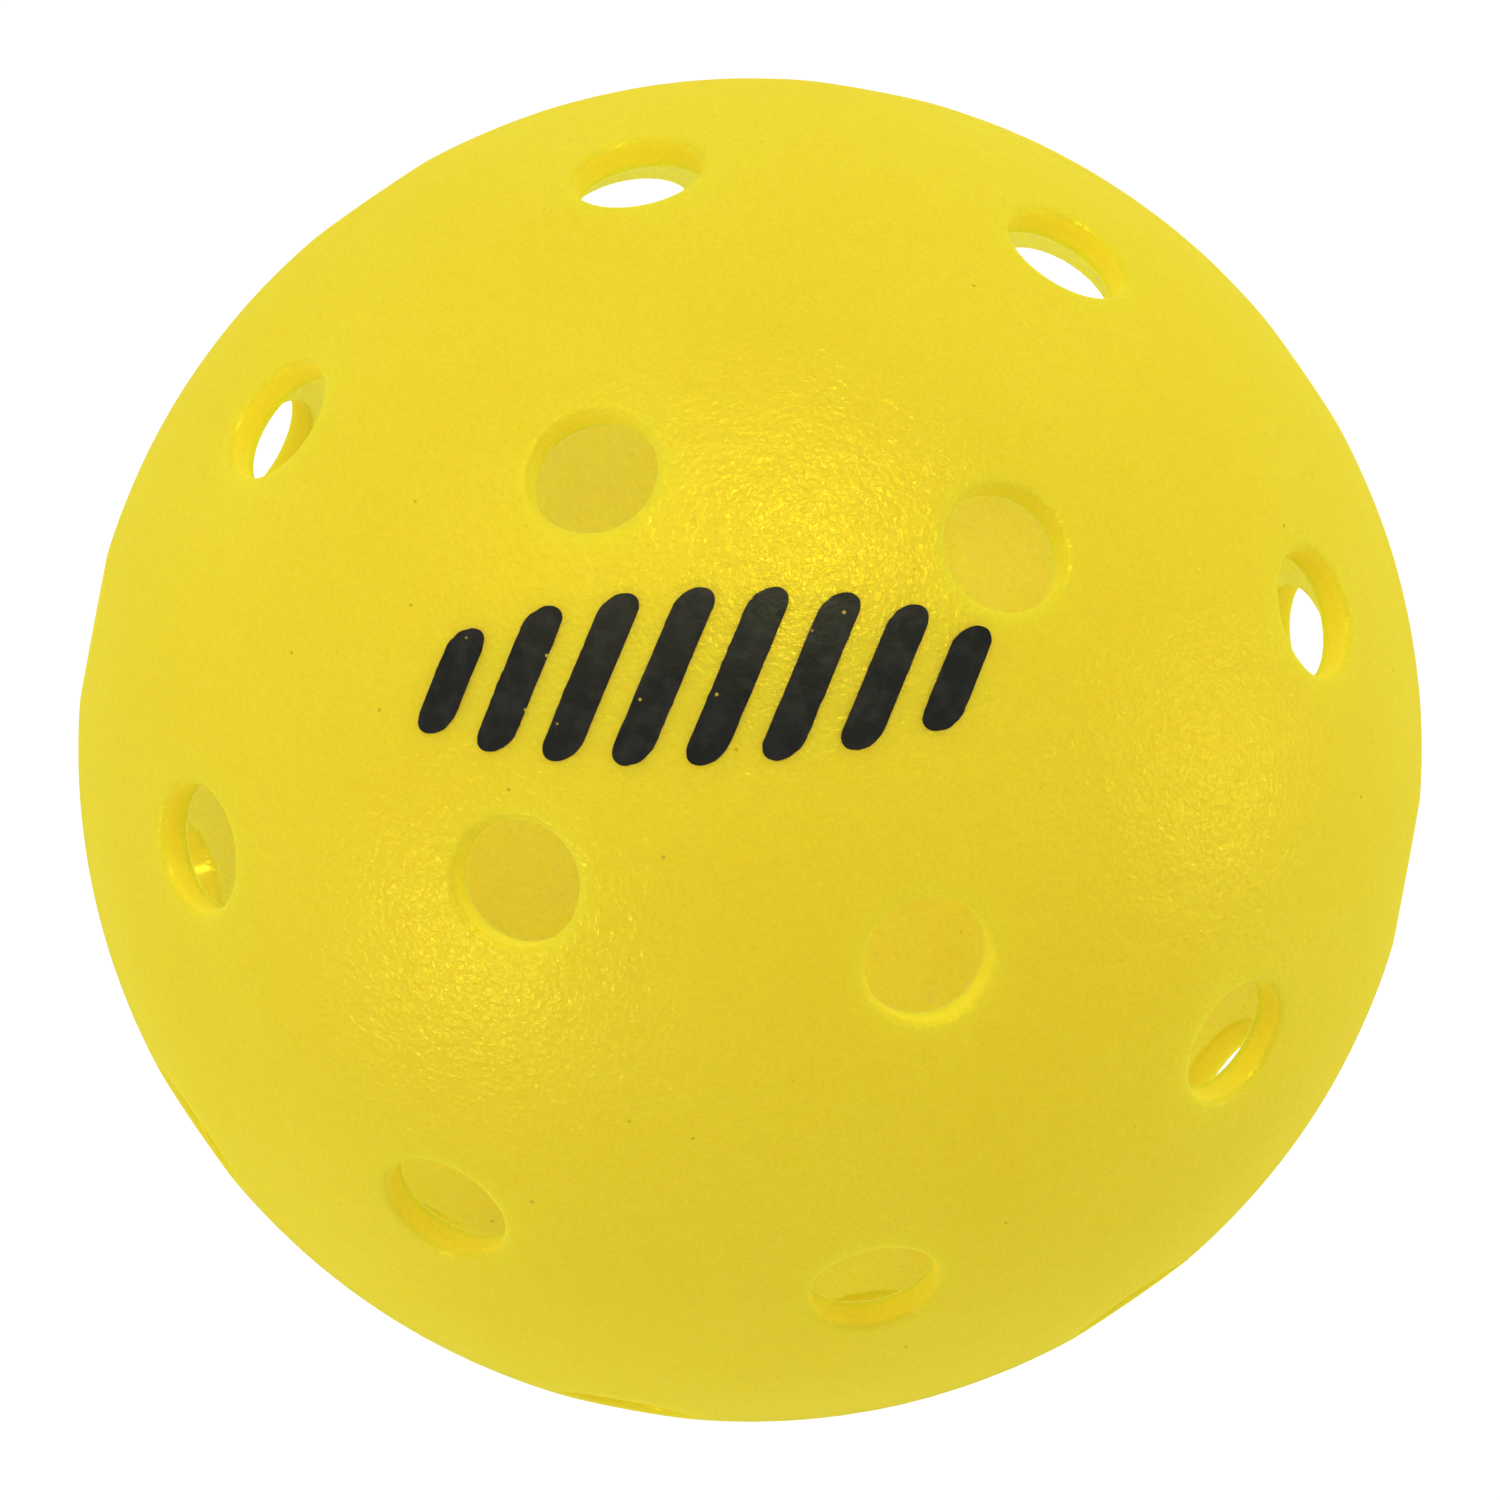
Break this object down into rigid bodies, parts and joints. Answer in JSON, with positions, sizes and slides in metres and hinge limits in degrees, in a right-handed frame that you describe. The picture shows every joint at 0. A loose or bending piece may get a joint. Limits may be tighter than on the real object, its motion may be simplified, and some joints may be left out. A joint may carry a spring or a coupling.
{
  "type": "pickleball ball",
  "caption": "Hollow yellow plastic ball with a pattern of round through holes, made of two half shells welded at the equator.",
  "frame": {"origin": "centre of the ball", "axes": "+Z towards the pole that carries the print, along the axis of the hole pattern; the seam lies in the XY plane; +X runs along the print from its left to its right"},
  "size_m": [0.074, 0.074, 0.074],
  "materials": {
    "shell_plastic": "satin moulded polyethylene with a fine pebbled skin, slightly translucent",
    "weld_plastic": "re-set polyethylene, smooth and slightly darker",
    "print_ink": "thin black pad-printed ink"
  },
  "bodies": {
    "root": {"printed_half_shell": "shell_plastic", "plain_half_shell": "shell_plastic", "weld_bead_1": "weld_plastic", "weld_bead_2": "weld_plastic", "weld_bead_3": "weld_plastic", "weld_bead_4": "weld_plastic", "weld_bead_5": "weld_plastic", "weld_bead_6": "weld_plastic", "weld_bead_7": "weld_plastic", "weld_bead_8": "weld_plastic"}
  },
  "joints": []
}
